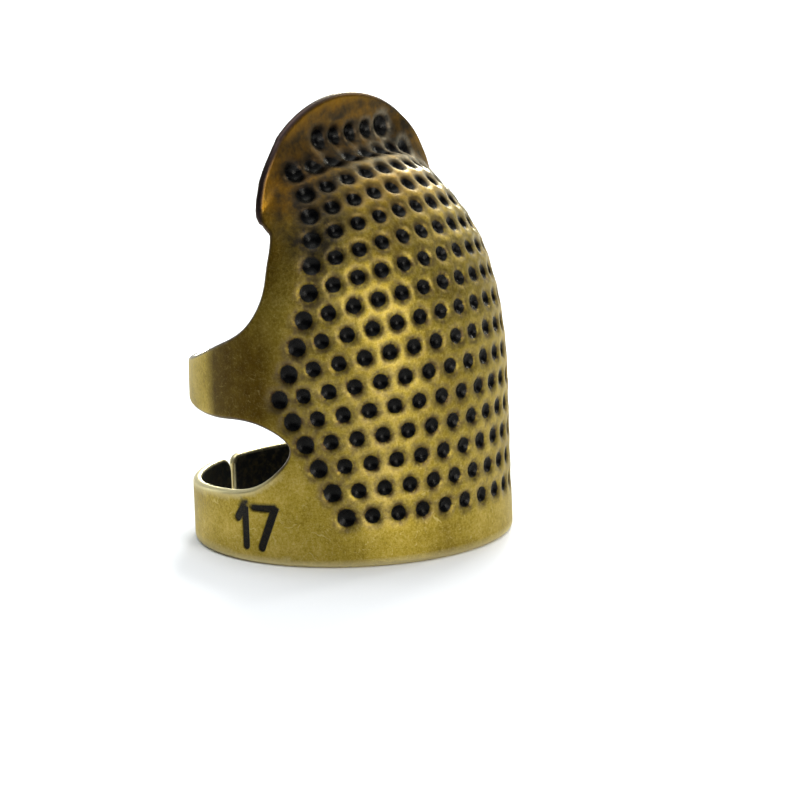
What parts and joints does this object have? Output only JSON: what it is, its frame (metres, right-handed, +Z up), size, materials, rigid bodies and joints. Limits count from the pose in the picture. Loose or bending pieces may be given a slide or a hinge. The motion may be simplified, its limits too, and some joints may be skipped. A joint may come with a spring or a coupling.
{
  "type": "thimble",
  "caption": "Adjustable open-backed metal thimble: dimpled front shield with domed top and tongue, and bendable arms that curl round the finger.",
  "frame": {"origin": "centre of the finger band in the plane of the bottom rim", "axes": "+Z up the finger towards the tongue, -Y out of the dimpled front, +X to the right seen from the front"},
  "size_m": [0.0184, 0.0184, 0.0255],
  "materials": {
    "antique_brass": "antique, darkened in the dimples and rubbed bright on the rims"
  },
  "bodies": {
    "shield": {"shield": "antique_brass"},
    "upper_left_arm": {"upper_left_arm": "antique_brass"},
    "upper_right_arm": {"upper_right_arm": "antique_brass"},
    "lower_left_arm": {"lower_left_arm": "antique_brass"},
    "lower_right_arm": {"lower_right_arm": "antique_brass"}
  },
  "joints": [
    {"name": "upper_left_bend", "type": "hinge", "parent": "shield", "child": "upper_left_arm", "pos_m": [-0.00879, 0.00171, 0], "axis": [0, 0, 1], "range_deg": [-12, 25]},
    {"name": "upper_right_bend", "type": "hinge", "parent": "shield", "child": "upper_right_arm", "pos_m": [0.00879, 0.00171, 0], "axis": [0, 0, -1], "range_deg": [-12, 25]},
    {"name": "lower_left_bend", "type": "hinge", "parent": "shield", "child": "lower_left_arm", "pos_m": [-0.00879, 0.00171, 0], "axis": [0, 0, 1], "range_deg": [0, 25]},
    {"name": "lower_right_bend", "type": "hinge", "parent": "shield", "child": "lower_right_arm", "pos_m": [0.00879, 0.00171, 0], "axis": [0, 0, -1], "range_deg": [0, 25]}
  ]
}
